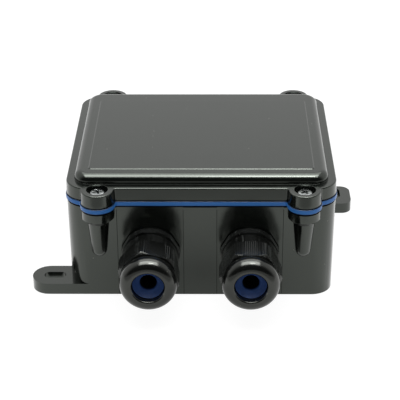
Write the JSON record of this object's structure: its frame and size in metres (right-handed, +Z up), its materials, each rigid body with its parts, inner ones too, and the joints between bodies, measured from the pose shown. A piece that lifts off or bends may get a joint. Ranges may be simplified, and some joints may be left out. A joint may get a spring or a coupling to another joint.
{
  "type": "waterproof junction box",
  "caption": "Flat sealed junction box with a screwed raised lid, a gasket, ribbed cable glands on one long side, diagonal fixing ears and a terminal strip inside.",
  "frame": {"origin": "middle of the box's underside, without the ears", "axes": "+Z up to the lid, +X along the wide front with the ears at its ends, and the cable glands point along -Y"},
  "size_m": [0.1528, 0.1391, 0.0592],
  "materials": {
    "dark_abs": "dark grey moulded ABS, smooth and fairly glossy",
    "black_nylon": "black moulded nylon with a soft sheen",
    "blue_rubber": "blue silicone rubber",
    "black_rubber": "black rubber",
    "brass_insert": "turned brass",
    "zinc_steel": "zinc plated steel",
    "pale_nylon": "natural moulded nylon"
  },
  "bodies": {
    "box": {"base": "dark_abs", "gasket": "blue_rubber", "threaded_inserts": "brass_insert", "terminal_housing": "pale_nylon", "terminal_tubes": "brass_insert", "terminal_clamp_screws": "zinc_steel", "terminal_fixing_screws": "zinc_steel", "left_gland_body": "black_nylon", "left_gland_washer": "black_rubber", "left_locknut": "black_nylon", "right_gland_body": "black_nylon", "right_gland_washer": "black_rubber", "right_locknut": "black_nylon"},
    "lid": {"lid": "dark_abs"},
    "front_left_seal": {"screw_seal_front_left": "black_rubber"},
    "front_left_screw": {"lid_screw_front_left": "zinc_steel"},
    "front_right_seal": {"screw_seal_front_right": "black_rubber"},
    "front_right_screw": {"lid_screw_front_right": "zinc_steel"},
    "rear_left_seal": {"screw_seal_rear_left": "black_rubber"},
    "rear_left_screw": {"lid_screw_rear_left": "zinc_steel"},
    "rear_right_seal": {"screw_seal_rear_right": "black_rubber"},
    "rear_right_screw": {"lid_screw_rear_right": "zinc_steel"},
    "left_seal": {"left_cable_seal": "blue_rubber"},
    "left_nut": {"left_dome_nut": "black_nylon"},
    "right_seal": {"right_cable_seal": "blue_rubber"},
    "right_nut": {"right_dome_nut": "black_nylon"}
  },
  "joints": [
    {"name": "lid_lift", "type": "slide", "parent": "box", "child": "lid", "axis": [0, 0, 1], "range_m": [0, 0.06]},
    {"name": "front_left_screw_rise", "type": "slide", "parent": "lid", "child": "front_left_seal", "axis": [0, 0, 1], "range_m": [0, 0.0096]},
    {"name": "front_left_screw_turn", "type": "hinge", "parent": "front_left_seal", "child": "front_left_screw", "pos_m": [-0.0455, -0.051, 0.0511], "axis": [0, 0, 1], "range_deg": [0, 5760]},
    {"name": "front_right_screw_rise", "type": "slide", "parent": "lid", "child": "front_right_seal", "axis": [0, 0, 1], "range_m": [0, 0.0096]},
    {"name": "front_right_screw_turn", "type": "hinge", "parent": "front_right_seal", "child": "front_right_screw", "pos_m": [0.0455, -0.051, 0.0511], "axis": [0, 0, 1], "range_deg": [0, 5760]},
    {"name": "rear_left_screw_rise", "type": "slide", "parent": "lid", "child": "rear_left_seal", "axis": [0, 0, 1], "range_m": [0, 0.0096]},
    {"name": "rear_left_screw_turn", "type": "hinge", "parent": "rear_left_seal", "child": "rear_left_screw", "pos_m": [-0.0455, 0.051, 0.0511], "axis": [0, 0, 1], "range_deg": [0, 5760]},
    {"name": "rear_right_screw_rise", "type": "slide", "parent": "lid", "child": "rear_right_seal", "axis": [0, 0, 1], "range_m": [0, 0.0096]},
    {"name": "rear_right_screw_turn", "type": "hinge", "parent": "rear_right_seal", "child": "rear_right_screw", "pos_m": [0.0455, 0.051, 0.0511], "axis": [0, 0, 1], "range_deg": [0, 5760]},
    {"name": "left_nut_advance", "type": "slide", "parent": "box", "child": "left_seal", "axis": [0, -1, 0], "range_m": [0, 0.0075]},
    {"name": "left_nut_turn", "type": "hinge", "parent": "left_seal", "child": "left_nut", "pos_m": [-0.0227, -0.0496, 0.022], "axis": [0, -1, 0], "range_deg": [0, 1800]},
    {"name": "right_nut_advance", "type": "slide", "parent": "box", "child": "right_seal", "axis": [0, -1, 0], "range_m": [0, 0.0075]},
    {"name": "right_nut_turn", "type": "hinge", "parent": "right_seal", "child": "right_nut", "pos_m": [0.0217, -0.0496, 0.022], "axis": [0, -1, 0], "range_deg": [0, 1800]}
  ],
  "couplings": [
    {"joint": "front_left_screw_turn", "follows": "front_left_screw_rise", "rad_per_m": 10472},
    {"joint": "front_right_screw_turn", "follows": "front_right_screw_rise", "rad_per_m": 10472},
    {"joint": "rear_left_screw_turn", "follows": "rear_left_screw_rise", "rad_per_m": 10472},
    {"joint": "rear_right_screw_turn", "follows": "rear_right_screw_rise", "rad_per_m": 10472},
    {"joint": "left_nut_turn", "follows": "left_nut_advance", "rad_per_m": 4188.8},
    {"joint": "right_nut_turn", "follows": "right_nut_advance", "rad_per_m": 4188.8}
  ]
}
